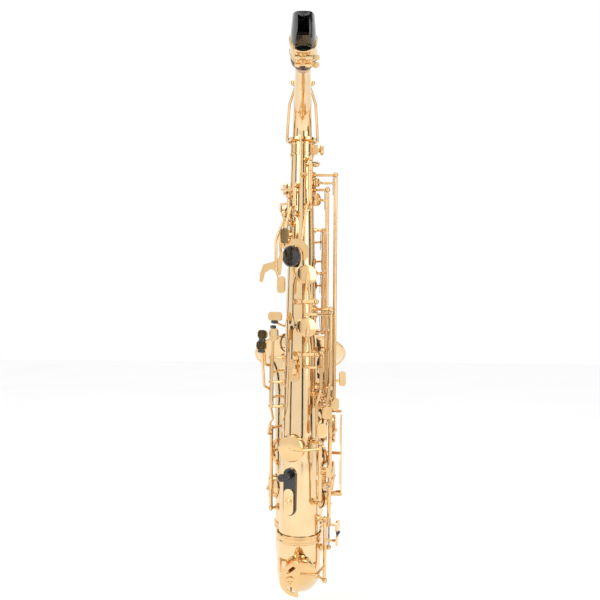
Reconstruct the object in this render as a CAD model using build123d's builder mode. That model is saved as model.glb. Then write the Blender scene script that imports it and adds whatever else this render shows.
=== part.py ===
"""Curved-bell alto saxophone in lacquered brass, as an assembly of separate pieces.

Frame: origin at the centre of the strap ring on the player's side, +Z up along the body
tube, the player's side facing -Y and the bell on the +Y side. All sizes are millimetres.
"""

import os
from math import atan2, cos, radians, sin

from build123d import *

os.makedirs("parts", exist_ok=True)

# Body tube: a straight cone parallel to Z; its axis stands off from the strap ring.
AXIS_X, AXIS_Y = 7.0, 36.0
WALL = 0.8
TUBE_TOP_Z, TUBE_TOP_R = 256.0, 13.4
TUBE_BOTTOM_Z, TUBE_BOTTOM_R = -206.0, 25.2
RECEIVER_TOP_Z, RECEIVER_R, TENON_R = 270.0, 14.2, 12.0

# Bow: a half circle between two straight legs.
BOW_LEG, BOW_BEND_R = 20.0, 31.0
BOW_START_R, BOW_END_R = 26.0, 31.0

# Bell: a curved cone leaning away from the body tube, then a straight flare.
BELL_TILT, BELL_CURVE_RISE, FLARE_LENGTH, FLARE_BASE_R = 29.0, 156.0, 60.0, 34.2
FLARE = [(61.0, 0), (54.5, 3.4), (48.0, 8.4), (42.5, 16), (38.0, 28), (35.6, 42)]
RIM_BEAD_R = 1.8

# Neck: a short riser, one bend towards the player and a rising straight.
NECK_RISE, NECK_BEND_R, NECK_SLOPE, NECK_RUN = 4.0, 36.0, 15.0, 126.0
NECK_BASE_R, NECK_TIP_R, CORK_R, CORK_LENGTH = 12.2, 6.9, 8.6, 44.0
MOUTHPIECE_BORE_R, MOUTHPIECE_ON_CORK = 8.9, 31.0

# Keywork common sizes.
ROD_R, ROD_BORE_R, HINGE_R = 1.3, 1.36, 2.3
BALL_R, STEM_R, FOOT_R = 3.3, 1.7, 4.0
END_GAP = BALL_R + 0.4
CHIMNEY_WALL, CHIMNEY_RISE = 0.9, 2.2
CUP_SKIRT, CUP_TOP, PAD_PROUD, SEAT_GAP = 3.4, 0.9, 1.2, 0.35
ARM_R = 1.6
UP = Vector(0, 0, 1)

NODES = {}


def spot(x, y, z):
    """A point given from the body tube's axis."""
    return Vector(x + AXIS_X, y + AXIS_Y, z)


def outward(angle):
    """The direction away from the tube: 0 faces the player, 90 the player's right."""
    return Vector(sin(radians(angle)), -cos(radians(angle)), 0)


def around(angle, radius, z):
    """A point at an angle round the body tube."""
    return spot(0, 0, z) + outward(angle) * radius


def tube_radius(z):
    """The body tube's outer radius at a height."""
    share = (z - TUBE_BOTTOM_Z) / (TUBE_TOP_Z - TUBE_BOTTOM_Z)
    return TUBE_BOTTOM_R + share * (TUBE_TOP_R - TUBE_BOTTOM_R)


def facing(origin, normal):
    """A plane at a point with its Z along a normal and its X level."""
    level = UP.cross(normal)
    if level.length < 0.01:
        level = Vector(1, 0, 0)
    return Plane(origin=origin, x_dir=level, z_dir=normal)


def keep(name, *pieces):
    """Files one node's solids under its name."""
    NODES.setdefault(name, []).extend(s for p in pieces for s in p.solids())


def tube_between(start, end, outer, inner=0.0):
    """A straight tube, or a solid cylinder, between two points."""
    run = end - start
    with BuildPart(mode=Mode.PRIVATE) as made:
        with Locations(facing(start + run * 0.5, run)):
            Cylinder(outer, run.length)
            if inner:
                Cylinder(inner, run.length, mode=Mode.SUBTRACT)
    return made.part


def bar(*points, radius=ARM_R):
    """A round bar with round corners through a list of points."""
    with BuildPart(mode=Mode.PRIVATE) as made:
        for start, end in zip(points, points[1:]):
            run = end - start
            with Locations(facing(start + run * 0.5, run)):
                Cylinder(radius, run.length)
        for point in points:
            with Locations(facing(point, Vector(0.43, 0.31, 0.85))):
                Sphere(radius)
    return made.part


def lathe(plane, *outline):
    """A solid of revolution about a plane's Z from (radius, height) corners."""
    with BuildPart(mode=Mode.PRIVATE) as made:
        with BuildSketch(Plane.XZ):
            with BuildLine():
                Polyline(*outline, close=True)
            make_face()
        revolve(axis=Axis.Z)
    return made.part.moved(plane.location)


def plate(centre, normal, width, height, thick=2.4, corner=4.0):
    """A flat touch with rounded corners; its width is level."""
    plane = facing(centre, normal)
    with BuildPart(mode=Mode.PRIVATE) as made:
        with BuildSketch(plane.offset(-thick / 2)):
            RectangleRounded(width, height, corner)
        extrude(amount=thick)
    return made.part


def fused(*shapes):
    """One piece from shapes that are brazed together."""
    with BuildPart(mode=Mode.PRIVATE) as made:
        for shape in shapes:
            add(shape)
    return made.part


def minus(shape, *cutters):
    """A shape with others cut away from it."""
    with BuildPart(mode=Mode.PRIVATE) as made:
        add(shape)
        for cutter in cutters:
            add(cutter, mode=Mode.SUBTRACT)
    return made.part


def cup_and_pad(seat, radius):
    """A domed pad cup and its pad; the seat is the hole rim's plane, Z outwards."""
    lift = SEAT_GAP + PAD_PROUD
    crown = lift + CUP_SKIRT + CUP_TOP
    dome = crown + radius * 0.06
    inner = radius - 0.8
    with BuildPart(mode=Mode.PRIVATE) as cup:
        with BuildSketch(Plane.XZ):
            with BuildLine():
                Polyline((0, dome), (0, crown - CUP_TOP), (inner, crown - CUP_TOP), (inner, lift),
                         (radius, lift), (radius, crown - 1.2), (radius - 1.0, crown))
                ThreePointArc((radius - 1.0, crown), (radius * 0.5, crown + radius * 0.045), (0, dome))
            make_face()
        revolve(axis=Axis.Z)
    pad = lathe(seat.offset(SEAT_GAP), (0, 0.3), (radius * 0.3, 0.3), (radius * 0.3, 0), (radius - 1.6, 0),
                (radius - 0.9, 0.6), (radius - 0.9, PAD_PROUD + CUP_SKIRT), (0, PAD_PROUD + CUP_SKIRT))
    return cup.part.moved(seat.location), pad


def crown_point(seat, radius):
    """The middle of a cup's crown, just under its surface."""
    return seat.origin + seat.z_dir * (SEAT_GAP + PAD_PROUD + CUP_SKIRT + CUP_TOP + radius * 0.06 - 0.3)


def cup_arm(root, seat, radius, waist=None):
    """An arm from a hinge over a cup's edge to the middle of its crown."""
    crown = crown_point(seat, radius) + seat.z_dir * max(0.5, 1.2 - radius * 0.06)
    side = root - crown
    side = (side - seat.z_dir * side.dot(seat.z_dir)).normalized()
    edge = crown + side * (radius + 0.4) + seat.z_dir * 0.4
    stops = [root, edge, crown] if waist is None else [root, waist, edge, crown]
    return bar(*stops)


def body_post(ball, axis=UP):
    """A bored ball on a turned stem with a round foot on the body tube."""
    flat = Vector(ball.X - AXIS_X, ball.Y - AXIS_Y, 0)
    return stemmed(ball, flat.normalized() * -1, flat.length - tube_radius(ball.Z), axis, TUBE_SKIN)


def stemmed(ball, inward, depth, axis, skin):
    """A ball post whose stem runs a given way to a skin, which trims its foot."""
    foot = ball + inward * depth
    with BuildPart(mode=Mode.PRIVATE) as made:
        with Locations(facing(ball, inward + axis * 0.4)):
            Sphere(BALL_R)
        with Locations(facing(ball + inward * ((depth + 1.5) / 2), inward)):
            Cylinder(STEM_R, depth + 1.5)
        with Locations(facing(foot - inward * 0.6, inward)):
            Cylinder(FOOT_R, 4.4)
        with Locations(facing(ball, axis)):
            Cylinder(ROD_R + 0.05, 4 * BALL_R, mode=Mode.SUBTRACT)
        add(skin, mode=Mode.SUBTRACT)
    return made.part


class Rod:
    """A fixed steel rod that keys turn on."""

    def __init__(self, start, end):
        self.start, self.end = start, end
        self.way = (end - start).normalized()
        spill = self.way * (BALL_R - 0.6)
        keep("hinge_rods", tube_between(start - spill, end + spill, ROD_R))

    def at(self, z):
        """The point of an upright rod at a height."""
        return Vector(self.start.X, self.start.Y, z)


def upright(x, y, *heights):
    """An upright rod held by ball posts on the body tube at the given heights."""
    rod = Rod(spot(x, y, min(heights)), spot(x, y, max(heights)))
    for z in heights:
        keep("body_posts", body_post(rod.at(z)))
    return rod


def key(name, rod, low, high, shapes, seats=(), soft=(), rest=0.0):
    """A key: a hinge tube, its arms and touches, cups with pads; rest is its resting turn."""
    cups = [cup_and_pad(seat, radius) for seat, radius in seats]
    sleeve = tube_between(low, high, HINGE_R)
    metal = fused(sleeve, *shapes, *[cup for cup, _ in cups])
    spill = rod.way * 2
    metal = minus(metal, tube_between(low - spill, high + spill, ROD_BORE_R))
    hinge = Axis(rod.start, rod.way)
    pieces = [metal, *[pad for _, pad in cups], *soft]
    keep(name, *[p.rotate(hinge, rest) if rest else p for p in pieces])


def pearl_touch(seat, radius):
    """A finger pearl in its holder on a cup's crown."""
    base = facing(crown_point(seat, radius) - seat.z_dir * 0.6, seat.z_dir)
    holder = lathe(base, (0, 0), (6.6, 0), (7.2, 4.6), (6.2, 4.6), (6.2, 3.0), (0, 3.0))
    pearl = lathe(base.offset(3.0), (0, 0), (6.0, 0), (6.0, 1.4), (4.0, 2.0), (0, 2.2))
    return holder, pearl


TUBE_SKIN = Cone(TUBE_BOTTOM_R, TUBE_TOP_R, TUBE_TOP_Z - TUBE_BOTTOM_Z).moved(
    Location(spot(0, 0, (TUBE_TOP_Z + TUBE_BOTTOM_Z) / 2))
)

# Tone holes on the body tube: angle round the tube, height, cup radius.
HOLES = {
    "octave": (64, 243, 3.4),
    "high_f_sharp": (66, 221, 5.6),
    "side_e": (60, 200, 8.0),
    "palm_f": (-95, 214, 7.4),
    "palm_e_flat": (-104, 185, 7.8),
    "palm_d": (-104, 150, 8.6),
    "c": (160, 151, 8.0),
    "b": (160, 127, 9.6),
    "a": (160, 97, 11.2),
    "g": (160, 62, 12.4),
    "g_sharp": (-132, 26, 12.0),
    "side_c": (17, 109, 12.0),
    "side_b_flat": (17, 46.5, 12.2),
    "f_sharp": (150, 20, 13.6),
    "f": (145, -24, 14.6),
    "e": (135, -68, 15.2),
    "d": (125, -114, 15.6),
    "trill_f_sharp": (-22, -97, 15.8),
    "e_flat": (120, -164, 14.4),
}


def hole_seat(name):
    """The rim plane of a body tone hole and its cup's radius."""
    angle, z, radius = HOLES[name]
    return facing(around(angle, tube_radius(z) + CHIMNEY_RISE, z), outward(angle)), radius


def build_body_tube():
    """The conical tube with its drawn tone holes."""
    with BuildPart() as tube:
        add(TUBE_SKIN)
        for angle, z, radius in HOLES.values():
            with BuildSketch(facing(around(angle, 6, z), outward(angle))):
                Circle(radius - 1.9 + CHIMNEY_WALL)
            extrude(amount=tube_radius(z) + CHIMNEY_RISE - 6)
        with Locations(spot(0, 0, (TUBE_TOP_Z + TUBE_BOTTOM_Z) / 2)):
            Cone(TUBE_BOTTOM_R - WALL, TUBE_TOP_R - WALL, TUBE_TOP_Z - TUBE_BOTTOM_Z, mode=Mode.SUBTRACT)
        for angle, z, radius in HOLES.values():
            with BuildSketch(facing(around(angle, 6, z), outward(angle))):
                Circle(radius - 1.9)
            extrude(amount=tube_radius(z), mode=Mode.SUBTRACT)
    return tube.part


def bow_plane(turn):
    """The bow's section plane after a turn of 0 to 180 degrees."""
    t = radians(turn)
    centre = spot(0, BOW_BEND_R * (1 - cos(t)), TUBE_BOTTOM_Z - BOW_LEG - BOW_BEND_R * sin(t))
    return Plane(origin=centre, x_dir=(1, 0, 0), z_dir=(0, sin(t), -cos(t)))


def bow_form(shrink):
    """The bow's solid form, shrunk by a wall's thickness."""
    with BuildPart(mode=Mode.PRIVATE) as made:
        for turn in range(0, 181, 30):
            with BuildSketch(bow_plane(turn)):
                Circle(BOW_START_R + (BOW_END_R - BOW_START_R) * turn / 180 - shrink)
        loft()
        with BuildSketch(bow_plane(0)):
            Circle(BOW_START_R - shrink)
        extrude(amount=-BOW_LEG)
        with BuildSketch(bow_plane(180)):
            Circle(BOW_END_R - shrink)
        extrude(amount=BOW_LEG)
    return made.part


LOW_C_TURN, LOW_C_CUP_R = 13.0, 17.0


def low_c_seat():
    """The rim plane of the low C tone hole on the bow's player side."""
    t = radians(LOW_C_TURN)
    way = Vector(0, -cos(t), -sin(t))
    hub = spot(0, BOW_BEND_R, TUBE_BOTTOM_Z - BOW_LEG)
    reach = BOW_BEND_R + BOW_START_R + (BOW_END_R - BOW_START_R) * LOW_C_TURN / 180 + CHIMNEY_RISE
    return facing(hub + way * reach, way)


BOW_SKIN = bow_form(0)


def build_bow():
    """The bow with the low C tone hole."""
    seat = low_c_seat()
    with BuildPart() as bow:
        add(BOW_SKIN)
        with BuildSketch(seat):
            Circle(LOW_C_CUP_R - 1.9 + CHIMNEY_WALL)
        extrude(amount=-20)
        add(bow_form(WALL), mode=Mode.SUBTRACT)
        with BuildSketch(seat):
            Circle(LOW_C_CUP_R - 1.9)
        extrude(amount=-24, mode=Mode.SUBTRACT)
    return bow.part


BELL_BEND = BELL_CURVE_RISE / sin(radians(BELL_TILT))
BELL_BASE_Y = 2 * BOW_BEND_R


def bell_plane(z):
    """The bell's section plane where its curved axis is at a height; Z along the axis."""
    t = (z - TUBE_BOTTOM_Z) / BELL_BEND
    t = atan2(t, (1 - t * t) ** 0.5)
    centre = spot(0, BELL_BASE_Y + BELL_BEND * (1 - cos(t)), z)
    return Plane(origin=centre, x_dir=(1, 0, 0), z_dir=(0, sin(t), cos(t)))


def bell_radius(z):
    """The curved part's outer radius at a height."""
    return BOW_END_R + (FLARE_BASE_R - BOW_END_R) * (z - TUBE_BOTTOM_Z) / BELL_CURVE_RISE


FLARE_BASE = bell_plane(TUBE_BOTTOM_Z + BELL_CURVE_RISE)
RIM_PLANE = FLARE_BASE.offset(FLARE_LENGTH)


def bell_form(shrink):
    """The bell's curved part as a solid."""
    with BuildPart(mode=Mode.PRIVATE) as made:
        for step in range(5):
            z = TUBE_BOTTOM_Z + BELL_CURVE_RISE * step / 4
            with BuildSketch(bell_plane(z)):
                Circle(bell_radius(z) - shrink)
        loft()
    return made.part


BELL_SKIN = bell_form(0)
# Bell tone holes: height of the axis, side (1 is the player's right), cup radius.
BELL_HOLES = {"low_b": (-150.0, 1, 19.0), "low_b_flat": (-92.0, 1, 19.0), "low_c_sharp": (-164.0, -1, 16.0)}


def bell_seat(name):
    """The rim plane of a bell tone hole and its cup's radius."""
    z, side, radius = BELL_HOLES[name]
    section = bell_plane(z)
    way = Vector(side, 0, 0)
    return facing(section.origin + way * (bell_radius(z) + CHIMNEY_RISE), way), radius


def flare_shell():
    """The flaring end of the bell."""
    outer = [(r, FLARE_LENGTH - below) for r, below in FLARE]
    inner = [(r - WALL - (0.5 if below < 10 else 0.1), h) for (r, h), (_, below) in zip(outer, FLARE)]
    inner[0] = (outer[0][0] - 0.3, outer[0][1] + 0.9)
    base = FLARE_BASE
    with BuildPart(mode=Mode.PRIVATE) as made:
        with BuildSketch(Plane(origin=base.origin, x_dir=base.x_dir, z_dir=-base.y_dir)):
            with BuildLine():
                Spline(*outer, (FLARE_BASE_R, 0))
                Line((FLARE_BASE_R, 0), (FLARE_BASE_R - WALL, 0))
                Spline((FLARE_BASE_R - WALL, 0), *reversed(inner))
                Line(inner[0], outer[0])
            make_face()
        revolve(axis=Axis(base.origin, base.z_dir))
    return made.part


def build_bell():
    """The bell: curved cone, drawn tone holes and flare."""
    seats = [bell_seat(name) for name in BELL_HOLES]
    with BuildPart() as bell:
        add(BELL_SKIN)
        for seat, radius in seats:
            with BuildSketch(seat):
                Circle(radius - 1.9 + CHIMNEY_WALL)
            extrude(amount=-22)
        add(bell_form(WALL), mode=Mode.SUBTRACT)
        for seat, radius in seats:
            with BuildSketch(seat):
                Circle(radius - 1.9)
            extrude(amount=-24, mode=Mode.SUBTRACT)
        add(flare_shell())
    return bell.part


def beaded_ring(plane, inner, outer, height):
    """A ferrule with a raised bead near each end."""
    bead = 0.8
    return lathe(plane, (inner, 0), (outer, 0), (outer + bead, 0.8), (outer + bead, 2.4), (outer, 3.2),
                 (outer, height - 3.2), (outer + bead, height - 2.4), (outer + bead, height - 0.8),
                 (outer, height), (inner, height))


keep("body_tube", build_body_tube())
keep("bow", build_bow())
keep("bell", build_bell())
keep("bell_rim", Torus(61.6, RIM_BEAD_R).moved(Location(RIM_PLANE.offset(0.9))) - NODES["bell"][0])
keep("bow_body_ring", beaded_ring(Plane(spot(0, 0, TUBE_BOTTOM_Z - 6)), BOW_START_R + 0.01, 27.0, 10))
keep("bow_bell_ring", beaded_ring(Plane(spot(0, BELL_BASE_Y, TUBE_BOTTOM_Z - 8)), BOW_END_R + 0.01, 32.0, 8))


# --- fittings on the tube ------------------------------------------------------------------

receiver_base = Plane(spot(0, 0, TUBE_TOP_Z - 2))
keep("neck_receiver", minus(
    fused(
        lathe(receiver_base, (TENON_R + 0.08, 2.1), (TUBE_TOP_R + 0.1, 2.1), (TUBE_TOP_R + 0.1, 0),
              (RECEIVER_R + 0.8, 0), (RECEIVER_R + 0.8, 2.5), (RECEIVER_R, 3.2), (RECEIVER_R, 13.2),
              (RECEIVER_R + 0.7, 14), (RECEIVER_R + 0.7, 16), (TENON_R + 0.08, 16)),
        minus(Box(7, 9, 11).moved(Location(spot(15.5, 3, 262.5))), Cylinder(RECEIVER_R - 0.5, 40).moved(
            Location(spot(0, 0, 262.5)))),
    ),
    tube_between(spot(10, 3, 262.5), spot(24, 3, 262.5), 1.76),
))
screw_plane = Plane(origin=spot(15.0, 3, 262.5), x_dir=(0, 1, 0), z_dir=(1, 0, 0))
keep("neck_screw", fused(
    lathe(screw_plane, (0, 0), (1.7, 0), (1.7, 4.4), (3.2, 4.4), (3.2, 6.0), (2.2, 7.0), (0, 7.0)),
    lathe(screw_plane.offset(6.8), (0, 0), (5.6, 0), (6.6, 1.0), (6.6, 3.4), (5.6, 4.4), (0, 4.4)),
))

ring_eye = Plane(origin=Vector(0, 0, 0), x_dir=(0, 0, 1), z_dir=(1, 0, 0))
strap_eye = lathe(ring_eye.offset(-2.4), (5.2, 0.4), (6.0, 0), (9.6, 0), (10.6, 1.2), (10.6, 3.6), (9.6, 4.8),
                  (6.0, 4.8), (5.2, 4.4))
strap_plate = minus(
    plate(around(-19, tube_radius(0) + 1.4, -5), outward(-19), 12, 27, 6.0, 5.5),
    TUBE_SKIN,
)
strap_web = minus(Box(4.4, 12, 8).moved(Location(Vector(0, 12.5, 0))), TUBE_SKIN)
keep("strap_ring", fused(strap_eye, strap_web, strap_plate))

rest_seat = facing(around(-32, tube_radius(131), 131), outward(-32))
keep("thumb_rest", minus(
    lathe(rest_seat.offset(-1), (0, 0), (8, 0), (8, 5.5), (12.2, 6.2), (12.6, 8.0), (11.0, 9.6),
          (5, 10.4), (0, 10.6)),
    TUBE_SKIN,
))

hook_seat = facing(around(-27, tube_radius(-149), -149), outward(-27))
hook_base = plate(hook_seat.origin + hook_seat.z_dir * 0.6, hook_seat.z_dir, 16, 56, 4.8, 7.6)
horn = fused(
    bar(around(-26, tube_radius(-130) + 4.4, -130), spot(-15, -31, -129), spot(-21, -33, -130), radius=4.0),
    Sphere(4.7).moved(Location(facing(spot(-21.5, -33.2, -130.2), Vector(0.5, 0.3, 0.8)))),
)
plate_seat = facing(hook_seat.origin + hook_seat.z_dir * 3.02 - UP * 11.5, hook_seat.z_dir)
screw_hole = tube_between(plate_seat.offset(-6).origin, plate_seat.offset(8).origin, 2.06)
keep("thumb_hook", minus(fused(minus(hook_base, TUBE_SKIN), horn), screw_hole))
keep("thumb_hook_plate", minus(
    plate(plate_seat.origin + plate_seat.z_dir * 1.0, plate_seat.z_dir, 13, 31, 2.0, 6.4), screw_hole,
))
keep("thumb_hook_screw", minus(
    lathe(plate_seat.offset(2.02), (0, -6.5), (2.0, -6.5), (2.0, 0), (4.2, 0), (4.2, 1.2), (2.6, 2.2),
          (0, 2.2)),
    Box(9, 0.9, 1.2).moved(Location(plate_seat.offset(4.1)) * Location((0, 0, 0), (0, 0, 90))), TUBE_SKIN,
))

brace_z = -114.0
brace_bell = bell_plane(brace_z)
brace_ring = lathe(Plane(spot(-27, 38, brace_z), x_dir=(0, 1, 0), z_dir=(1, 0.55, 0)).offset(-1.5),
                   (12.5, 0), (16.5, 0), (16.5, 3), (12.5, 3))
keep("bell_brace", minus(
    fused(brace_ring,
          bar(spot(-20, 25.3, brace_z), around(-135, tube_radius(brace_z) - 0.4, brace_z), radius=2.2),
          bar(spot(-34, 50.7, brace_z), brace_bell.origin + Vector(-20, -18, 0), radius=2.2)),
    TUBE_SKIN, BELL_SKIN,
))

# --- neck and mouthpiece -------------------------------------------------------------------


NECK_LEAN = radians(90 - NECK_SLOPE)
NECK_LENGTH = NECK_RISE + NECK_BEND_R * NECK_LEAN + NECK_RUN
NECK_BASE = spot(0, 0, RECEIVER_TOP_Z)


def neck_plane(along):
    """The neck's section plane at a distance along its centre line, and its outer radius."""
    t = min(max((along - NECK_RISE) / NECK_BEND_R, 0), NECK_LEAN)
    way = Vector(0, -sin(t), cos(t))
    centre = NECK_BASE + Vector(0, -NECK_BEND_R * (1 - cos(t)), min(along, NECK_RISE) + NECK_BEND_R * sin(t))
    past = along - NECK_RISE - NECK_BEND_R * NECK_LEAN
    if past > 0:
        centre = centre + way * past
    radius = NECK_BASE_R + (NECK_TIP_R - NECK_BASE_R) * along / NECK_LENGTH
    return Plane(origin=centre, x_dir=(1, 0, 0), z_dir=way), radius


def neck_form(shrink):
    """The neck's solid form, shrunk by a wall's thickness."""
    bend_end = NECK_RISE + NECK_BEND_R * NECK_LEAN
    with BuildPart(mode=Mode.PRIVATE) as made:
        for step in range(6):
            plane, radius = neck_plane(NECK_RISE + (bend_end - NECK_RISE) * step / 5)
            with BuildSketch(plane):
                Circle(radius - shrink)
        loft()
        with BuildSketch(neck_plane(NECK_RISE)[0]):
            Circle(NECK_BASE_R - 0.15 - shrink)
        extrude(amount=-NECK_RISE)
        run_plane, run_radius = neck_plane(bend_end)
        with Locations(run_plane.offset(NECK_RUN / 2)):
            Cone(run_radius - shrink, NECK_TIP_R - shrink, NECK_RUN)
    return made.part


CORK_END = neck_plane(NECK_LENGTH)[0]
neck_skin = neck_form(0)
tenon = lathe(Plane(spot(0, 0, 247)), (TENON_R - 1, 0), (TENON_R, 0), (TENON_R, 23.4),
              (RECEIVER_R + 0.4, 23.4), (RECEIVER_R + 0.4, 25.4), (NECK_BASE_R + 0.6, 27.2),
              (NECK_BASE_R - 1.0, 27.2), (TENON_R - 1, 23))
pip_way = neck_plane(48)[0]
pip_up = pip_way.y_dir if pip_way.y_dir.Z > 0 else pip_way.y_dir * -1
pip_seat = Plane(origin=pip_way.origin + pip_up * 9.0, x_dir=(1, 0, 0), z_dir=pip_up)
keep("neck_tube", minus(fused(neck_skin, tenon, lathe(pip_seat, (0, 0), (2.6, 0), (2.2, 4.4), (0, 4.4))),
                        neck_form(1.0)))
cork_seat = CORK_END.offset(-CORK_LENGTH)
keep("neck_cork", minus(
    lathe(cork_seat, (0, 0), (CORK_R - 0.3, 0), (CORK_R, 1.2), (CORK_R, CORK_LENGTH - 1),
          (CORK_R - 0.6, CORK_LENGTH), (0, CORK_LENGTH)),
    neck_skin,
))

SHANK = CORK_END.offset(-MOUTHPIECE_ON_CORK)
RISE = SHANK.y_dir * -1 if SHANK.y_dir.Z < 0 else SHANK.y_dir
MP = Plane(origin=SHANK.origin, x_dir=RISE.cross(SHANK.z_dir), z_dir=SHANK.z_dir)
side_cut = Plane(origin=MP.origin, x_dir=MP.z_dir, z_dir=MP.x_dir)


def side_prism(half_width, *outline):
    """A prism across the mouthpiece from (along, up) corners."""
    flip = 1 if side_cut.y_dir.Z > 0 else -1
    with BuildPart(mode=Mode.PRIVATE) as made:
        with BuildSketch(side_cut.offset(-half_width)):
            with BuildLine():
                Polyline(*[(a, b * flip) for a, b in outline], close=True)
            make_face()
        extrude(amount=2 * half_width)
    return made.part


keep("mouthpiece", minus(
    lathe(MP, (0, 0), (12.9, 0), (13.4, 0.8), (13.4, 5.0), (12.9, 5.8), (12.9, 40), (12.3, 52), (10.6, 74),
          (9.0, 90), (7.6, 91), (0, 91)),
    side_prism(20, (48, 13.6), (50, 12.6), (92, -7.6), (92, 16)),
    side_prism(20, (33, -14), (33, -9.9), (92, -9.3), (92, -14)),
    side_prism(5.6, (44, 4.6), (58, 4.0), (86.5, -7.4), (86.5, -12), (58, -12), (55, -5), (44, -5)),
    tube_between(MP.origin - MP.z_dir, MP.origin + MP.z_dir * (MOUTHPIECE_ON_CORK + 13), MOUTHPIECE_BORE_R),
))
LIGATURE = MP.offset(13)
lug_way = MP.y_dir * -1 if MP.y_dir.Z > 0 else MP.y_dir


def ligature_point(along, sideways=0.0, drop=17.6):
    """A point under the ligature."""
    return MP.origin + MP.z_dir * along + MP.x_dir * sideways + lug_way * drop


band = lathe(LIGATURE, (13.0, 0), (14.0, 0), (14.6, 0.8), (14.6, 2.0), (14.0, 2.8), (14.0, 20.2), (14.6, 21),
             (14.6, 22.2), (14.0, 23), (13.0, 23))
lugs = []
for along in (18.0, 31.0):
    for sideways in (-6.0, 5.0):
        ends = [ligature_point(along, sideways + half) for half in (-2.5, 2.5)]
        lugs.append(tube_between(*ends, 2.9))
        lugs.append(bar(ligature_point(along, sideways), ligature_point(along, sideways, 13.8), radius=1.8))
screw_bores = [tube_between(ligature_point(a, -12), ligature_point(a, 12), 1.36) for a in (18.0, 31.0)]
mouth_core = tube_between(MP.origin, MP.origin + MP.z_dir * 60, 13.0)
keep("ligature", minus(fused(band, *lugs), *screw_bores, mouth_core))
for name, along in (("ligature_screw_lower", 18.0), ("ligature_screw_upper", 31.0)):
    shaft = Plane(origin=ligature_point(along, -9.0), x_dir=MP.z_dir, z_dir=MP.x_dir)
    keep(name, fused(
        lathe(shaft, (0, 0), (1.3, 0), (1.3, 17.0), (2.6, 17.0), (2.6, 18.4), (1.4, 19.4), (0, 19.4)),
        plate(shaft.offset(22).origin, MP.z_dir, 7.6, 6.0, 1.8, 2.9),
    ))

# --- keys ----------------------------------------------------------------------------------

upper = upright(27, 12, 40, 112, 165)
lower = upright(37, 3, -134, -46, 40)
STACK_OPEN = -9.0


def stack_key(name, rod, low, high, pearl):
    """A finger key that rests open over its hole."""
    seat, radius = hole_seat(name)
    holder, top = pearl_touch(seat, radius) if pearl else (None, None)
    shapes = [cup_arm(rod.at(seat.origin.Z), seat, radius)] + ([holder] if pearl else [])
    soft = [top] if pearl else []
    key(f"key_{name}", rod, rod.at(low), rod.at(high), shapes, [(seat, radius)], soft, STACK_OPEN)


stack_key("c", upper, 143, 165 - END_GAP, False)
stack_key("b", upper, 112 + END_GAP, 142.4, True)
stack_key("a", upper, 84, 112 - END_GAP, True)
stack_key("g", upper, 40 + END_GAP, 83.4, True)
stack_key("f_sharp", lower, 4, 40 - END_GAP, False)
stack_key("f", lower, -46 + END_GAP, 3.4, True)
stack_key("e", lower, -88, -46 - END_GAP, True)
stack_key("d", lower, -134 + END_GAP, -88.6, True)



def palm_wing():
    """The palm D touch: a broad plate with a branch whose tip turns down."""
    with BuildPart(mode=Mode.PRIVATE) as made:
        with BuildSketch(Plane(origin=spot(0, -21, 0), x_dir=(1, 0, 0), z_dir=(0, -1, 0))):
            with BuildLine():
                Polyline((-23, 143), (-27, 129), (-34, 124), (-45, 121), (-49, 110), (-49.6, 100),
                         (-45.6, 100), (-43, 111), (-36, 115.5), (-29, 112), (-24.5, 106), (-23, 118),
                         (-21.5, 133), close=True)
            make_face()
        extrude(amount=2.4)
        fillet(made.edges().filter_by(Axis.Y), 1.6)
    return made.part


palm_d_rod = upright(-20, -10, 158, 182)
palm_e_rod = upright(-15.5, -16.8, 171, 203)
palm_f_rod = upright(-8.6, -22, 182, 216)
seat, radius = hole_seat("palm_d")
key("key_palm_d", palm_d_rod, palm_d_rod.at(158 + END_GAP), palm_d_rod.at(182 - END_GAP),
    [cup_arm(palm_d_rod.at(166), seat, radius),
     bar(palm_d_rod.at(165), spot(-27, -15, 160), spot(-24, -21.8, 130)), palm_wing()],
    [(seat, radius)])
seat, radius = hole_seat("palm_e_flat")
key("key_palm_e_flat", palm_e_rod, palm_e_rod.at(171 + END_GAP), palm_e_rod.at(203 - END_GAP),
    [cup_arm(palm_e_rod.at(194), seat, radius, spot(-25, -9, 194)),
     bar(palm_e_rod.at(178), spot(-22, -25, 172), spot(-30, -28, 150), spot(-30, -29.5, 115),
         spot(-25, -31, 101)),
     plate(spot(-23.5, -31.5, 97), Vector(-0.4, -0.9, 0), 10, 20, 2.4, 4.6)],
    [(seat, radius)])
seat, radius = hole_seat("palm_f")
key("key_palm_f", palm_f_rod, palm_f_rod.at(182 + END_GAP), palm_f_rod.at(216 - END_GAP),
    [cup_arm(palm_f_rod.at(210), seat, radius, spot(-20, -14, 211)),
     bar(palm_f_rod.at(190), spot(-13, -29, 188), spot(-18, -33, 170), spot(-19, -34, 160)),
     plate(spot(-19.5, -34.4, 154), Vector(-0.5, -0.86, 0), 11, 18, 2.4, 4.6)],
    [(seat, radius)])

side_e_rod = upright(31, -3.5, -40, 213)
seat, radius = hole_seat("side_e")
key("key_side_e", side_e_rod, side_e_rod.at(-40 + END_GAP), side_e_rod.at(213 - END_GAP),
    [cup_arm(side_e_rod.at(200), seat, radius),
     bar(side_e_rod.at(-34.4), spot(34, -11, -36), spot(41.4, -13.6, -45)),
     plate(spot(42, -14, -46), Vector(0.75, -0.66, 0), 12, 15, 2.4, 5)],
    [(seat, radius)])
high_f_rod = upright(41, -3.5, -50, 231)
seat, radius = hole_seat("high_f_sharp")
key("key_high_f_sharp", high_f_rod, high_f_rod.at(-50 + END_GAP), high_f_rod.at(231 - END_GAP),
    [cup_arm(high_f_rod.at(221), seat, radius),
     bar(high_f_rod.at(-20), spot(50.6, -5.2, -17)),
     plate(spot(51, -5.5, -16), Vector(0.35, -0.94, 0), 8, 18, 2.4, 3.5)],
    [(seat, radius)])


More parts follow.
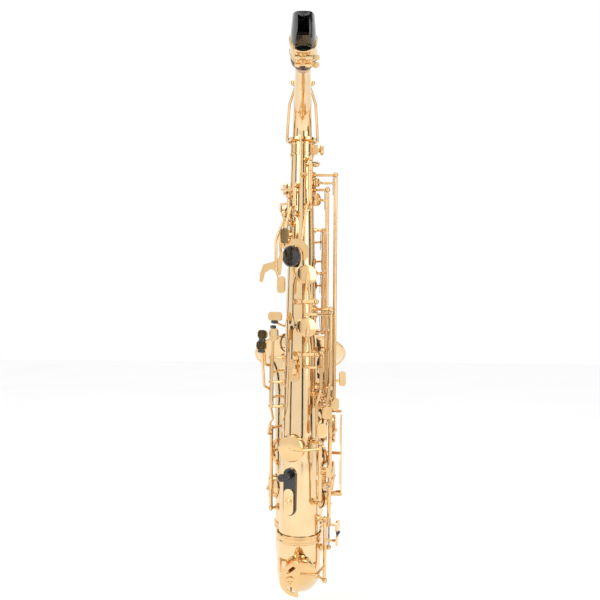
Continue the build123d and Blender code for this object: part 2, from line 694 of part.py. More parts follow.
def side_rocker(name):
    """A normally closed cup on two parallel arms that rock on a level pivot."""
    seat, radius = hole_seat(name)
    angle, z, _ = HOLES[name]
    pivot_z = z - 32
    middle = around(angle, tube_radius(pivot_z) + 9.5, pivot_z)
    across = Vector(cos(radians(angle)), sin(radians(angle)), 0)
    rod = Rod(middle - across * 10.5, middle + across * 10.5)
    for end in (rod.start, rod.end):
        keep("body_posts", stemmed(end, outward(angle) * -1, 12, rod.way, TUBE_SKIN))
    arms = [cup_arm(middle + across * shift, seat, radius) for shift in (-3.2, 3.2)]
    tails = [bar(middle + across * shift, middle + across * shift - UP * 15) for shift in (-3.2, 3.2)]
    foot = bar(middle - across * 3.2 - UP * 15, middle + across * 3.2 - UP * 15)
    reach = across * (10.5 - END_GAP)
    key(f"key_{name}", rod, middle - reach, middle + reach, [*arms, *tails, foot], [(seat, radius)])
    return middle - UP * 15 + outward(angle) * 4.8, across


side_c_push, side_across = side_rocker("side_c")
side_b_push, side_across = side_rocker("side_b_flat")
side_c_rod = upright(36, -14, -26, 68)
key("side_c_lever", side_c_rod, side_c_rod.at(-26 + END_GAP), side_c_rod.at(68 - END_GAP),
    [bar(side_c_rod.at(side_c_push.Z), side_c_push + side_across * 9, side_c_push),
     bar(side_c_rod.at(-19.5), spot(35, -23, -21), spot(31.5, -25, -46), spot(31.5, -25.6, -51)),
     plate(spot(31.5, -26, -54.5), Vector(0.45, -0.89, 0), 12.6, 15, 2.4, 5)])
side_b_rod = upright(25, -17, -34, 16)
key("side_b_flat_lever", side_b_rod, side_b_rod.at(-34 + END_GAP), side_b_rod.at(16 - END_GAP),
    [bar(side_b_rod.at(side_b_push.Z), side_b_push + side_across * 9, side_b_push),
     bar(side_b_rod.at(-27.5), spot(24, -25.5, -28), spot(19.5, -26, -44),
         spot(20, -27, -66), spot(25, -28.8, -74)),
     plate(spot(26, -29, -75), Vector(0.35, -0.94, 0), 13, 17, 2.4, 5)])

octave_rod = upright(10, -21, 190, 248)
seat, radius = hole_seat("octave")
key("key_body_octave", octave_rod, octave_rod.at(233), octave_rod.at(248 - END_GAP),
    [cup_arm(octave_rod.at(243), seat, radius)], [(seat, radius)])
with BuildPart(mode=Mode.PRIVATE) as crescent:
    with BuildSketch(facing(spot(-10, -29.5, 130), Vector(-0.12, -0.99, 0))):
        with Locations((4, 6)):
            Circle(15)
        Circle(13.4, mode=Mode.SUBTRACT)
        with Locations((0, -16)):
            Rectangle(60, 24, mode=Mode.SUBTRACT)
    extrude(amount=2.4)
key("octave_thumb_lever", octave_rod, octave_rod.at(190 + END_GAP), octave_rod.at(232.4),
    [bar(octave_rod.at(200), spot(6, -29, 190), spot(0, -30.6, 148)), crescent.part,
     bar(octave_rod.at(228), spot(-2, -23.6, 230), spot(-2, -23.6, 276), radius=1.3)])

pip_rod_way, pip_rod_r = neck_plane(72)
pip_rod_up = Vector(0, sin(radians(NECK_SLOPE)), cos(radians(NECK_SLOPE)))
pip_rod_middle = pip_rod_way.origin + pip_rod_up * (pip_rod_r + 7.5)
neck_rod = Rod(pip_rod_middle - Vector(11, 0, 0), pip_rod_middle + Vector(11, 0, 0))
for end in (neck_rod.start, neck_rod.end):
    keep("neck_posts", stemmed(end, (pip_rod_way.origin - end).normalized(), 10.65, neck_rod.way, neck_skin))
NODES["neck_rod"] = [NODES["hinge_rods"].pop()]
pip_top = Plane(origin=pip_seat.origin + pip_up * 4.4, x_dir=(1, 0, 0), z_dir=pip_up)
RING_INNER, RING_Y, RING_Z = 17.8, -2.6, 270.8
ring = lathe(Plane(spot(0, RING_Y, RING_Z)), (RING_INNER, 0), (RING_INNER + 1.6, 0), (RING_INNER + 1.6, 3),
             (RING_INNER, 3))
ring_arms = [
    bar(pip_rod_middle + Vector(side * 4.5, 0, 0), pip_rod_middle + Vector(side * 8, 10, 0),
        spot(side * 15.5, -22, 312), spot(side * 17.5, -10, 290),
        spot(side * (RING_INNER + 0.8), RING_Y, RING_Z + 1.5))
    for side in (-1, 1)
]
neck_reach = Vector(11 - END_GAP, 0, 0)
key("key_neck_octave", neck_rod, pip_rod_middle - neck_reach, pip_rod_middle + neck_reach,
    [cup_arm(pip_rod_middle, pip_top, 4.2), ring, *ring_arms], [(pip_top, 4.2)])

gs_rod = upright(-7, 29, 4, 50)
seat, radius = hole_seat("g_sharp")
key("key_g_sharp", gs_rod, gs_rod.at(4 + END_GAP), gs_rod.at(50 - END_GAP),
    [cup_arm(gs_rod.at(26), seat, radius),
     bar(gs_rod.at(43), spot(-26, 27, 48), spot(-38, 6, 56), spot(-31, -10.6, 59)),
     plate(spot(-31, -11.4, 59), Vector(-0.6, -0.8, 0), 20, 11, 2.4, 4.6)],
    [(seat, radius)])

def bell_post(x, y, z):
    """A ball post on the bell holding an upright rod."""
    ball = spot(x, y, z)
    centre = bell_plane(z).origin
    flat = Vector(centre.X - ball.X, centre.Y - ball.Y, 0)
    return stemmed(ball, flat.normalized(), flat.length - bell_radius(z), UP, BELL_SKIN)


def bell_rod(x, y, *heights):
    """An upright rod held by ball posts on the bell."""
    rod = Rod(spot(x, y, min(heights)), spot(x, y, max(heights)))
    for z in heights:
        keep("bell_posts", bell_post(x, y, z))
    return rod


sharp_rod = bell_rod(-36, 41, -186, -84)
seat, radius = bell_seat("low_c_sharp")
key("key_low_c_sharp", sharp_rod, sharp_rod.at(-186 + END_GAP), sharp_rod.at(-84 - END_GAP),
    [cup_arm(sharp_rod.at(-164), seat, radius),
     bar(sharp_rod.at(-92), spot(-40, 33, -90), spot(-37, 25, -74), spot(-33, -3, -65), spot(-35, -14, -50),
         spot(-33, -16, 30), spot(-32.4, -17.2, 36)),
     plate(spot(-32, -17.5, 38), Vector(-0.8, -0.6, 0), 16, 14, 2.4, 5)],
    [(seat, radius)])

bell_key_rod = bell_rod(38, 39, -180, -119, -58)
seat, radius = bell_seat("low_b_flat")
key("key_low_b_flat", bell_key_rod, bell_key_rod.at(-119 + END_GAP), bell_key_rod.at(-58 - END_GAP),
    [cup_arm(bell_key_rod.at(-92), seat, radius), bar(bell_key_rod.at(-64), spot(18, 41, -63))],
    [(seat, radius)], rest=-8.0)
seat, radius = bell_seat("low_b")
key("key_low_b", bell_key_rod, bell_key_rod.at(-180 + END_GAP), bell_key_rod.at(-119 - END_GAP),
    [cup_arm(bell_key_rod.at(-150), seat, radius),
     bar(bell_key_rod.at(-127), spot(24, 40, -124), spot(21, 41, -78))],
    [(seat, radius)], rest=-10.0)
table_rod = upright(-36, 10, -52, -22, 8)
key("low_b_flat_lever", table_rod, table_rod.at(-22 + END_GAP), table_rod.at(8 - END_GAP),
    [bar(table_rod.at(-12), spot(-27, 35, -10), spot(14, 44, -8), spot(17, 47, -60)),
     bar(table_rod.at(-2), spot(-43, 3, 0), spot(-45.8, -7.4, 35)),
     plate(spot(-46, -8, 37), Vector(-0.5, -0.86, 0), 13, 11, 2.4, 4.5)])
key("low_b_lever", table_rod, table_rod.at(-52 + END_GAP), table_rod.at(-22 - END_GAP),
    [bar(table_rod.at(-42), spot(-27, 35, -42), spot(2, 44, -50), spot(6, 45, -70), spot(20, 47, -76)),
     bar(table_rod.at(-32), spot(-44, 1, -26), spot(-47, -8.6, 22)),
     plate(spot(-47, -9, 24), Vector(-0.5, -0.86, 0), 14, 11, 2.4, 4.5)])

flat_rod = Rod(spot(36, -3, -221), spot(36, -3, -144))
keep("body_posts", body_post(flat_rod.end))
keep("bow_posts", stemmed(flat_rod.start, Vector(-36, 3, 0).normalized(), 10.1, UP, BOW_SKIN))
seat, radius = hole_seat("e_flat")
key("key_e_flat", flat_rod, flat_rod.at(-196), flat_rod.at(-144 - END_GAP),
    [cup_arm(flat_rod.at(-164), seat, radius), bar(flat_rod.at(-192), spot(45.6, -6.4, -194)),
     plate(spot(46.4, -6.6, -194), Vector(0.94, -0.34, 0), 13, 13, 2.4, 4)],
    [(seat, radius)])
seat, radius = low_c_seat(), LOW_C_CUP_R
low_c_rod = Rod(spot(31, -12, -258), spot(31, -12, -184))
keep("body_posts", body_post(low_c_rod.end))
keep("bow_posts", stemmed(low_c_rod.start, Vector(-31, 17.6, 14.3).normalized(), 11.5, UP, BOW_SKIN))
key("key_low_c", low_c_rod, low_c_rod.at(-258 + END_GAP), low_c_rod.at(-184 - END_GAP),
    [cup_arm(low_c_rod.at(-240), seat, radius),
     bar(low_c_rod.at(-208), spot(38, -13.6, -210), spot(45.8, -10, -211)),
     plate(spot(46.6, -9.6, -211), Vector(0.94, -0.34, 0), 13, 13, 2.4, 4)],
    [(seat, radius)], rest=8.0)

trill_rod = upright(24, -26, -162, -90)
seat, radius = hole_seat("trill_f_sharp")
key("key_trill_f_sharp", trill_rod, trill_rod.at(-162 + END_GAP), trill_rod.at(-90 - END_GAP),
    [cup_arm(trill_rod.at(-97), seat, radius), bar(trill_rod.at(-122), spot(33.6, -31, -122)),
     plate(spot(34.4, -31.4, -122), Vector(0.85, -0.53, 0), 8, 16, 2.4, 3.5)],
    [(seat, radius)])

# --- guards --------------------------------------------------------------------------------

guard_x = 53.0


def bell_guard():
    """One plate over both bell cups, with an arched window over each."""
    with BuildPart(mode=Mode.PRIVATE) as made:
        with BuildSketch(Plane(origin=spot(guard_x, 70, -121), x_dir=(0, 1, 0), z_dir=(1, 0, 0))):
            RectangleRounded(30, 112, 12)
            for middle in (-27, 27):
                with Locations((0, middle)):
                    SlotOverall(38, 15, rotation=90, mode=Mode.SUBTRACT)
        extrude(amount=1.6)
    feet = []
    for y, z in ((62, -174), (78, -174), (66, -121), (78, -68)):
        feet.append(bar(spot(guard_x + 0.8, y, z), bell_plane(z).origin + Vector(22, 0, 0), radius=2.0))
    return minus(fused(made.part, *feet), BELL_SKIN)


keep("bell_key_guard", bell_guard())
guard_plane = facing(low_c_seat().origin, low_c_seat().z_dir).offset(20)
with BuildPart(mode=Mode.PRIVATE) as low_guard:
    with BuildSketch(guard_plane):
        Circle(22.5)
        with Locations((12, -7)):
            Rectangle(25, 34, mode=Mode.SUBTRACT)
        with Locations((-9, 12.5)):
            SlotOverall(12, 5, rotation=40, mode=Mode.SUBTRACT)
        with Locations((-9, -12.5)):
            SlotOverall(12, 5, rotation=-40, mode=Mode.SUBTRACT)
    extrude(amount=1.6)
    with BuildSketch(guard_plane.offset(-1.4)):
        with Locations((-10, -1)):
            Circle(5.2)
    extrude(amount=4.6)
    with BuildSketch(guard_plane.offset(2.2)):
        with Locations((-10, -1)):
            Rectangle(6.4, 1.4)
            Rectangle(1.4, 6.4)
    extrude(amount=2, mode=Mode.SUBTRACT)
guard_feet = []
for x, y in ((-20.4, 4), (-9, -18.6), (-2, 20.6)):
    start = guard_plane.origin + guard_plane.x_dir * x + guard_plane.y_dir * y + guard_plane.z_dir * 0.8
    guard_feet.append(bar(start, start - guard_plane.z_dir * 36 + guard_plane.x_dir * x * 0.1, radius=1.6))
keep("low_c_guard", minus(fused(low_guard.part, *guard_feet), BOW_SKIN))

for name, solids in NODES.items():
    piece = Compound(solids)
    piece.label = name
    export_step(piece, f"parts/{name}.step")
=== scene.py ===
import math

import bmesh
import bpy
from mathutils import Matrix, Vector


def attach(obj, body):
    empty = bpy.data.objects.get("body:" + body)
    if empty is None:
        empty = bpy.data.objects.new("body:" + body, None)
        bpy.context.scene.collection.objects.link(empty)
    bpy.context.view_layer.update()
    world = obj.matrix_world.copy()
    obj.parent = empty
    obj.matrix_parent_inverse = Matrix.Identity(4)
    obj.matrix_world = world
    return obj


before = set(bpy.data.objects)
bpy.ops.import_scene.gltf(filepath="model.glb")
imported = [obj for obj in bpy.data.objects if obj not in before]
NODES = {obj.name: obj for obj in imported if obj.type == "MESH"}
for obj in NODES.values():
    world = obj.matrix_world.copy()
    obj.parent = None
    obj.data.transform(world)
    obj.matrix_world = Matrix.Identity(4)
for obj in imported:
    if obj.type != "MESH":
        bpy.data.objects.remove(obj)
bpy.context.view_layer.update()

MM = 0.001
AXIS_X, AXIS_Y = 7.0, 36.0
SMOOTH_CAD = 32
SMOOTH_FITTING = 35
PEARL_SPAN = (0.0155, 0.0182)


def spot(x, y, z):
    """A point in metres, given in millimetres from the body tube's axis."""
    return Vector(((x + AXIS_X) * MM, (y + AXIS_Y) * MM, z * MM))


# --- materials ------------------------------------------------------------------------------

def new_material(name):
    """A material with its node tree, shader and object coordinates."""
    mat = bpy.data.materials.new(name)
    mat.use_nodes = True
    nodes, links = mat.node_tree.nodes, mat.node_tree.links
    coords = nodes.new("ShaderNodeTexCoord")
    return mat, nodes, links, nodes["Principled BSDF"], coords.outputs["Object"]


def noise(nodes, links, coords, scale, detail=4.0, stretch=None):
    """Noise over an object's own coordinates, stretched if asked."""
    source = coords
    if stretch:
        mapping = nodes.new("ShaderNodeMapping")
        mapping.inputs["Scale"].default_value = stretch
        links.new(coords, mapping.inputs["Vector"])
        source = mapping.outputs["Vector"]
    texture = nodes.new("ShaderNodeTexNoise")
    texture.inputs["Scale"].default_value = scale
    texture.inputs["Detail"].default_value = detail
    links.new(source, texture.inputs["Vector"])
    return texture.outputs["Fac"]


def ramp(nodes, links, value, *stops):
    """Colours over a value, as (position, colour) stops."""
    made = nodes.new("ShaderNodeValToRGB")
    elements = made.color_ramp.elements
    elements[0].position, elements[0].color = stops[0][0], (*stops[0][1], 1)
    elements[1].position, elements[1].color = stops[-1][0], (*stops[-1][1], 1)
    for position, colour in stops[1:-1]:
        elements.new(position).color = (*colour, 1)
    links.new(value, made.inputs["Fac"])
    return made.outputs["Color"]


def spread(nodes, links, value, low, high):
    """A value from 0 to 1 spread between two limits."""
    made = nodes.new("ShaderNodeMapRange")
    made.inputs["To Min"].default_value = low
    made.inputs["To Max"].default_value = high
    links.new(value, made.inputs["Value"])
    return made.outputs["Result"]


def bump(nodes, links, value, shader, strength, distance):
    """Relief from a value on a shader."""
    made = nodes.new("ShaderNodeBump")
    made.inputs["Strength"].default_value = strength
    made.inputs["Distance"].default_value = distance
    links.new(value, made.inputs["Height"])
    links.new(made.outputs["Normal"], shader.inputs["Normal"])


def brass(name, light, deep, rough, seed):
    """Clear-lacquered brass: warm metal with faint clouding, wipe marks and small darker specks."""
    mat, nodes, links, shader, coords = new_material(name)
    clouds = noise(nodes, links, coords, 34 + seed, 5)
    wipes = noise(nodes, links, coords, 260, 3, (1.0, 1.0, 0.12))
    specks = noise(nodes, links, coords, 900, 2)
    tone = ramp(nodes, links, clouds, (0.3, deep), (0.72, light))
    worn = nodes.new("ShaderNodeMix")
    worn.data_type = "RGBA"
    worn.inputs["B"].default_value = (deep[0] * 0.62, deep[1] * 0.5, deep[2] * 0.36, 1)
    wear = ramp(nodes, links, specks, (0.68, (0, 0, 0)), (0.8, (0.6, 0.6, 0.6)))
    links.new(wear, worn.inputs["Factor"])
    links.new(tone, worn.inputs["A"])
    links.new(worn.outputs["Result"], shader.inputs["Base Color"])
    shader.inputs["Metallic"].default_value = 1.0
    links.new(spread(nodes, links, wipes, rough * 0.75, rough * 1.5), shader.inputs["Roughness"])
    shader.inputs["Coat Weight"].default_value = 0.5
    shader.inputs["Coat Roughness"].default_value = 0.06
    shader.inputs["Coat Tint"].default_value = (1.0, 0.93, 0.8, 1)
    bump(nodes, links, noise(nodes, links, coords, 120, 4), shader, 0.05, 0.0004)
    return mat


def glossy(name, colour, rough, fleck):
    """Polished black plastic or hard rubber with a faint handled bloom."""
    mat, nodes, links, shader, coords = new_material(name)
    bloom = noise(nodes, links, coords, 70, 5)
    tone = ramp(nodes, links, bloom, (0.3, colour), (0.8, fleck))
    links.new(tone, shader.inputs["Base Color"])
    links.new(spread(nodes, links, noise(nodes, links, coords, 160, 3), rough * 0.7, rough * 1.6),
              shader.inputs["Roughness"])
    shader.inputs["Coat Weight"].default_value = 0.6
    shader.inputs["Coat Roughness"].default_value = 0.05
    bump(nodes, links, noise(nodes, links, coords, 500, 2), shader, 0.04, 0.0002)
    return mat


def matte(name, stops, scale, rough, relief):
    """A soft or grainy surface: leather, cork or card."""
    mat, nodes, links, shader, coords = new_material(name)
    grain = noise(nodes, links, coords, scale, 8)
    links.new(ramp(nodes, links, grain, *stops), shader.inputs["Base Color"])
    links.new(spread(nodes, links, grain, rough * 0.85, min(1.0, rough * 1.15)), shader.inputs["Roughness"])
    bump(nodes, links, grain, shader, relief, 0.0006)
    return mat


def steel(name):
    """Ground steel with fine marks along its length."""
    mat, nodes, links, shader, coords = new_material(name)
    marks = noise(nodes, links, coords, 420, 4, (1.0, 1.0, 0.08))
    links.new(ramp(nodes, links, marks, (0.3, (0.36, 0.36, 0.37)), (0.7, (0.62, 0.61, 0.6))),
              shader.inputs["Base Color"])
    shader.inputs["Metallic"].default_value = 1.0
    links.new(spread(nodes, links, marks, 0.16, 0.36), shader.inputs["Roughness"])
    bump(nodes, links, marks, shader, 0.06, 0.0002)
    return mat


def blued(name):
    """Heat-blued spring steel with faint straw patches."""
    mat, nodes, links, shader, coords = new_material(name)
    heat = noise(nodes, links, coords, 240, 4)
    blue, grey, straw = (0.05, 0.06, 0.1), (0.12, 0.11, 0.13), (0.2, 0.15, 0.1)
    tone = ramp(nodes, links, heat, (0.35, blue), (0.6, grey), (0.8, straw))
    links.new(tone, shader.inputs["Base Color"])
    shader.inputs["Metallic"].default_value = 0.9
    links.new(spread(nodes, links, heat, 0.25, 0.45), shader.inputs["Roughness"])
    bump(nodes, links, heat, shader, 0.05, 0.0001)
    return mat


def pearl(name):
    """Mother of pearl with soft bands of pink and green."""
    mat, nodes, links, shader, coords = new_material(name)
    bands = noise(nodes, links, coords, 120, 6, (1.0, 0.35, 1.0))
    green, pink, grey = (0.78, 0.8, 0.74), (0.88, 0.84, 0.82), (0.7, 0.76, 0.78)
    tone = ramp(nodes, links, bands, (0.25, green), (0.5, pink), (0.75, grey))
    links.new(tone, shader.inputs["Base Color"])
    links.new(spread(nodes, links, bands, 0.1, 0.22), shader.inputs["Roughness"])
    shader.inputs["Coat Weight"].default_value = 0.8
    bump(nodes, links, bands, shader, 0.03, 0.0002)
    return mat


TUBE = brass("lacquered tube brass", (0.88, 0.68, 0.42), (0.83, 0.61, 0.35), 0.1, 0)
KEYS = brass("lacquered key brass", (0.88, 0.64, 0.36), (0.8, 0.54, 0.26), 0.12, 9)
FITTINGS = brass("lacquered fitting brass", (0.85, 0.6, 0.32), (0.76, 0.5, 0.24), 0.14, 17)
BAND = brass("ligature brass", (0.92, 0.72, 0.44), (0.84, 0.6, 0.32), 0.14, 23)
STEEL = steel("rod steel")
BLUED = blued("spring steel")
EBONITE = glossy("mouthpiece ebonite", (0.006, 0.006, 0.007), 0.1, (0.014, 0.013, 0.012))
PLASTIC = glossy("black plastic", (0.008, 0.008, 0.009), 0.14, (0.018, 0.018, 0.018))
CORK_TONES = [(0.3, (0.34, 0.18, 0.1)), (0.5, (0.62, 0.4, 0.27)), (0.75, (0.72, 0.5, 0.36))]
CORK = matte("neck cork", CORK_TONES, 320, 0.75, 0.35)
LEATHER_TONES = [(0.3, (0.17, 0.07, 0.035)), (0.7, (0.28, 0.13, 0.07))]
LEATHER = matte("pad leather", LEATHER_TONES, 220, 0.55, 0.2)
PEARL = pearl("key pearl")

FINISH = {
    "hinge_rods": STEEL, "neck_rod": STEEL, "mouthpiece": EBONITE, "neck_cork": CORK,
    "thumb_rest": PLASTIC, "thumb_hook": PLASTIC, "ligature": BAND, "ligature_screw_lower": BAND,
    "ligature_screw_upper": BAND, "thumb_hook_plate": BAND, "thumb_hook_screw": BAND, "strap_ring": FITTINGS,
    "body_posts": FITTINGS, "bell_posts": FITTINGS, "bow_posts": FITTINGS, "neck_posts": FITTINGS,
    "bow_body_ring": FITTINGS, "bow_bell_ring": FITTINGS, "bell_rim": FITTINGS, "neck_receiver": FITTINGS,
    "neck_screw": FITTINGS, "bell_brace": FITTINGS, "bell_key_guard": KEYS, "low_c_guard": KEYS,
    "body_tube": TUBE, "bow": TUBE, "bell": TUBE, "neck_tube": TUBE,
}


def islands(mesh):
    """The mesh's separate pieces, as a piece number for each vertex."""
    parent = list(range(len(mesh.vertices)))

    def root(i):
        while parent[i] != i:
            parent[i] = parent[parent[i]]
            i = parent[i]
        return i

    seen = {}
    for v in mesh.vertices:
        place = tuple(round(c, 6) for c in v.co)
        if place in seen:
            parent[root(v.index)] = root(seen[place])
        else:
            seen[place] = v.index
    for edge in mesh.edges:
        a, b = (root(i) for i in edge.vertices)
        parent[a] = b
    return [root(i) for i in range(len(mesh.vertices))]


def smooth_by_angle(obj, angle):
    """Smooth shading except where faces meet at more than an angle."""
    mesh = obj.data
    mesh.shade_smooth()
    mesh.set_sharp_from_angle(angle=math.radians(angle))


def dress_key(obj):
    """Brass on a key, leather on its pads and pearl on its finger touch."""
    mesh = obj.data
    mesh.materials.clear()
    for mat in (KEYS, LEATHER, PEARL):
        mesh.materials.append(mat)
    owner = islands(mesh)
    sizes = {}
    for v in mesh.vertices:
        sizes.setdefault(owner[v.index], []).append(v.co.copy())
    spans = {}
    for piece, places in sizes.items():
        low = [min(p[i] for p in places) for i in range(3)]
        high = [max(p[i] for p in places) for i in range(3)]
        spans[piece] = (Vector(high) - Vector(low)).length
    metal = max(spans, key=spans.get)
    kind = {}
    for piece, span in spans.items():
        is_pearl = PEARL_SPAN[0] < span < PEARL_SPAN[1] and len(spans) > 2
        kind[piece] = 0 if piece == metal else (2 if is_pearl else 1)
    for face in mesh.polygons:
        face.material_index = kind[owner[face.vertices[0]]]


for name, obj in NODES.items():
    smooth_by_angle(obj, SMOOTH_CAD)
    if name.startswith("key_"):
        dress_key(obj)
    else:
        obj.data.materials.clear()
        obj.data.materials.append(FINISH.get(name, KEYS))


# --- small fittings -----------------------------------------------------------------------------

TURNED_SIDES = 28
HEAD_POINTS = 11


def finished(name, mesh_maker, mat, body):
    """A new piece from a bmesh, with its material, riding on a body."""
    mesh = bpy.data.meshes.new(name)
    mesh_maker.to_mesh(mesh)
    mesh_maker.free()
    obj = bpy.data.objects.new(name, mesh)
    bpy.context.scene.collection.objects.link(obj)
    mesh.materials.append(mat)
    smooth_by_angle(obj, SMOOTH_FITTING)
    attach(obj, body)


def turned(name, place, way, profile, mat, body):
    """A turned piece: (radius, height) pairs in millimetres about an axis from a place."""
    made = bmesh.new()
    turn = way.to_track_quat("Z", "Y")
    rings = []
    for radius, height in profile:
        ring = []
        for k in range(TURNED_SIDES):
            a = 2 * math.pi * k / TURNED_SIDES
            local = Vector((radius * math.cos(a), radius * math.sin(a), height)) * MM
            ring.append(made.verts.new(place + turn @ local))
        rings.append(ring)
    for low, high in zip(rings, rings[1:]):
        for k in range(TURNED_SIDES):
            after = (k + 1) % TURNED_SIDES
            made.faces.new((low[k], low[after], high[after], high[k]))
    made.faces.new(list(reversed(rings[0])))
    made.faces.new(rings[-1])
    finished(name, made, mat, body)


def slotted_head(name, place, way, radius, body):
    """A low domed screw head split by a driver slot."""
    made = bmesh.new()
    turn = way.to_track_quat("Z", "Y")
    half_slot = radius * 0.2
    start = math.asin(half_slot / radius)
    for side in (1, -1):
        levels = []
        for share, height in ((1.0, 0.0), (1.0, 0.45), (0.8, 0.85)):
            edge = []
            for k in range(HEAD_POINTS):
                a = start + (math.pi - 2 * start) * k / (HEAD_POINTS - 1)
                across = side * max(radius * share * math.sin(a), half_slot)
                local = Vector((radius * share * math.cos(a), across, height))
                edge.append(made.verts.new(place + turn @ (local * MM)))
            levels.append(edge)
        for low, high in zip(levels, levels[1:]):
            for k in range(HEAD_POINTS):
                after = (k + 1) % HEAD_POINTS
                quad = (low[k], low[after], high[after], high[k])
                made.faces.new(quad if side == 1 else tuple(reversed(quad)))
        made.faces.new(levels[-1] if side == 1 else list(reversed(levels[-1])))
    finished(name, made, STEEL, body)


def wire(name, points, radius, mat, body):
    """A thin spring wire through a list of points."""
    curve = bpy.data.curves.new(name, "CURVE")
    curve.dimensions = "3D"
    curve.bevel_depth = radius * MM
    curve.bevel_resolution = 3
    curve.use_fill_caps = True
    spline = curve.splines.new("POLY")
    spline.points.add(len(points) - 1)
    for target, point in zip(spline.points, points):
        target.co = (*point, 1)
    obj = bpy.data.objects.new(name, curve)
    bpy.context.scene.collection.objects.link(obj)
    curve.materials.append(mat)
    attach(obj, body)


BALL_R = 3.3
HEAD_SINK = 0.7
HEAD_R = 1.9
SPRING_R = 0.35
SPRING_LENGTH = 24
SPRING_OFFSET = 3.2
UP = Vector((0, 0, 1))
# Upright rods: a name, the axis from the tube's axis, and the heights of the posts that hold it.
RODS = [
    ("upper", 27, 12, (40, 112, 165)), ("lower", 37, 3, (-134, -46, 40)), ("palm_d", -20, -10, (158, 182)),
    ("palm_e", -15.5, -16.8, (171, 203)), ("palm_f", -8.6, -22, (182, 216)), ("side_e", 31, -3.5, (-40, 213)),
    ("high_f", 41, -3.5, (-50, 231)), ("side_c", 36, -14, (-26, 68)), ("side_b", 25, -17, (-34, 16)),
    ("octave", 10, -21, (190, 248)), ("g_sharp", -7, 29, (4, 50)), ("table", -36, 10, (-52, -22, 8)),
    ("trill", 24, -26, (-162, -90)), ("low_c_sharp", -36, 41, (-186, -84)),
    ("bell_keys", 38, 39, (-180, -119, -58)),
]
for name, x, y, heights in RODS:
    reach_past = BALL_R - HEAD_SINK
    top, foot = max(heights) + reach_past, min(heights) - reach_past
    slotted_head(f"{name}_rod_head_top", spot(x, y, top), UP, HEAD_R, "horn")
    slotted_head(f"{name}_rod_head_foot", spot(x, y, foot), -UP, HEAD_R, "horn")
    away = Vector((x, y, 0)).normalized() * SPRING_OFFSET
    side = Vector((-away.y, away.x, 0)) * 0.6
    for k, z in enumerate(heights):
        reach = SPRING_LENGTH if z == min(heights) else -SPRING_LENGTH
        root = Vector((x, y, z)) - away
        tip = root + side + UP * reach
        middle = (root + tip) * 0.5 + side * 0.3
        points = [spot(*root), spot(*middle), spot(*tip)]
        wire(f"{name}_needle_spring_{k}", points, SPRING_R, BLUED, "horn")

ROLLER_LENGTH = 10
# The roller's outline with its pin ends, as radius and height.
ROLLER = [
    (0.6, 0), (0.6, 0.8), (1.7, 0.8), (2.1, 1.6), (2.25, 5.0), (2.1, 8.4), (1.7, 9.2), (0.6, 9.2),
    (0.6, ROLLER_LENGTH),
]


def roller(name, centre, way, body):
    """A black barrel roller on its pin along a touch's edge."""
    turned(name, centre - way * (ROLLER_LENGTH / 2) * MM, way, ROLLER, PLASTIC, body)


def along_touch(normal_x, normal_y):
    """The level direction along a touch whose face looks a given way."""
    return Vector((-normal_y, normal_x, 0)).normalized()


roller("g_sharp_roller", spot(-31.6, -12.4, 52.4), along_touch(-0.6, -0.8), "g_sharp")
roller("low_c_sharp_roller", spot(-33, -18.2, 46.6), along_touch(-0.8, -0.6), "low_c_sharp")
roller("low_b_flat_roller", spot(-46.4, -8.6, 29.9), along_touch(-0.5, -0.86), "low_b_flat_press")
roller("low_b_roller", spot(-47.4, -9.6, 17.0), along_touch(-0.5, -0.86), "low_b_press")
roller("e_flat_roller", spot(47.2, -6.9, -202.1), along_touch(0.94, -0.34), "e_flat")

# --- light, floor and camera ------------------------------------------------------------------

def area_light(name, place, target, width, height, power):
    """A soft rectangular light aimed at a point."""
    light = bpy.data.lights.new(name, "AREA")
    light.shape, light.size, light.size_y = "RECTANGLE", width, height
    light.energy = power
    obj = bpy.data.objects.new(name, light)
    obj.location = place
    obj.rotation_euler = (Vector(target) - Vector(place)).to_track_quat("-Z", "Y").to_euler()
    bpy.context.scene.collection.objects.link(obj)


world = bpy.data.worlds.new("studio")
bpy.context.scene.world = world
world.use_nodes = True
background = world.node_tree.nodes["Background"]
background.inputs["Color"].default_value = (1.0, 1.0, 1.0, 1)
background.inputs["Strength"].default_value = 1.0

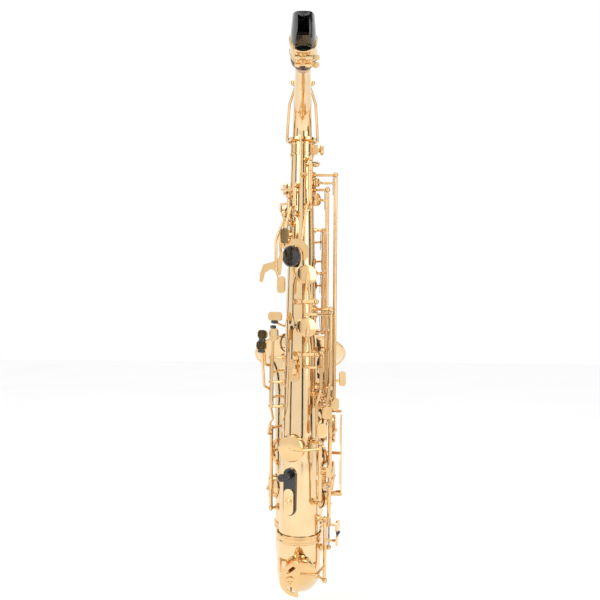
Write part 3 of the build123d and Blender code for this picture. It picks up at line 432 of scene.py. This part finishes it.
FLOOR_Z = -0.33
bpy.ops.mesh.primitive_plane_add(size=8, location=(0, 0, FLOOR_Z))
floor = bpy.context.active_object
floor.name = "floor"
floor_mat, floor_nodes, floor_links, floor_shader, floor_coords = new_material("floor")
floor_grain = noise(floor_nodes, floor_links, floor_coords, 3, 2)
floor_tone = ramp(floor_nodes, floor_links, floor_grain, (0.3, (0.95,) * 3), (0.7, (0.97,) * 3))
floor_links.new(floor_tone, floor_shader.inputs["Base Color"])
floor_shader.inputs["Roughness"].default_value = 0.9
floor.data.materials.append(floor_mat)

CARD_TONES = [(0.3, (0.004,) * 3), (0.7, (0.008,) * 3)]
BLACK_CARD = matte("black card", CARD_TONES, 30, 0.9, 0.1)
CARD_DISTANCE = 1.5
CARD_HEIGHT = 3.4
CARD_CENTRE_Y, CARD_CENTRE_Z = 0.05, 0.1


def black_card(name, bearing, width):
    """An upright black studio card seen only in reflections; bearing 0 is behind the camera."""
    a = math.radians(bearing)
    x, y = CARD_DISTANCE * math.sin(a), CARD_CENTRE_Y - CARD_DISTANCE * math.cos(a)
    bpy.ops.mesh.primitive_plane_add(size=1, location=(x, y, CARD_CENTRE_Z))
    card = bpy.context.active_object
    card.name = name
    card.scale = (width, CARD_HEIGHT, 1)
    card.rotation_euler = (math.radians(90), 0, a)
    card.data.materials.append(BLACK_CARD)
    card.visible_camera = False
    card.visible_shadow = False
    card.visible_diffuse = False


black_card("card_near_camera", 15, 0.30)
black_card("card_right", 78, 0.42)
black_card("card_left", -64, 0.26)
black_card("card_far_left", -118, 0.30)
black_card("card_far_right", 126, 0.30)

area_light("key light", (-0.9, -1.1, 0.9), (0, 0.05, 0.05), 0.5, 1.2, 5)
area_light("fill light", (1.0, -0.9, 0.5), (0, 0.05, 0.0), 0.4, 1.2, 3)
area_light("top light", (0.1, 0.3, 1.4), (0, 0.05, 0.0), 0.9, 0.9, 4)

camera_data = bpy.data.cameras.new("camera")
camera_data.sensor_width = 36
camera_data.lens = 44.3
camera_data.clip_start = 0.05
camera = bpy.data.objects.new("camera", camera_data)
camera.location = (0.0058, -0.864, 0.079)
camera.rotation_euler = (math.radians(90), math.radians(-0.47), 0)
bpy.context.scene.collection.objects.link(camera)
bpy.context.scene.camera = camera
bpy.context.scene.view_settings.view_transform = "Standard"
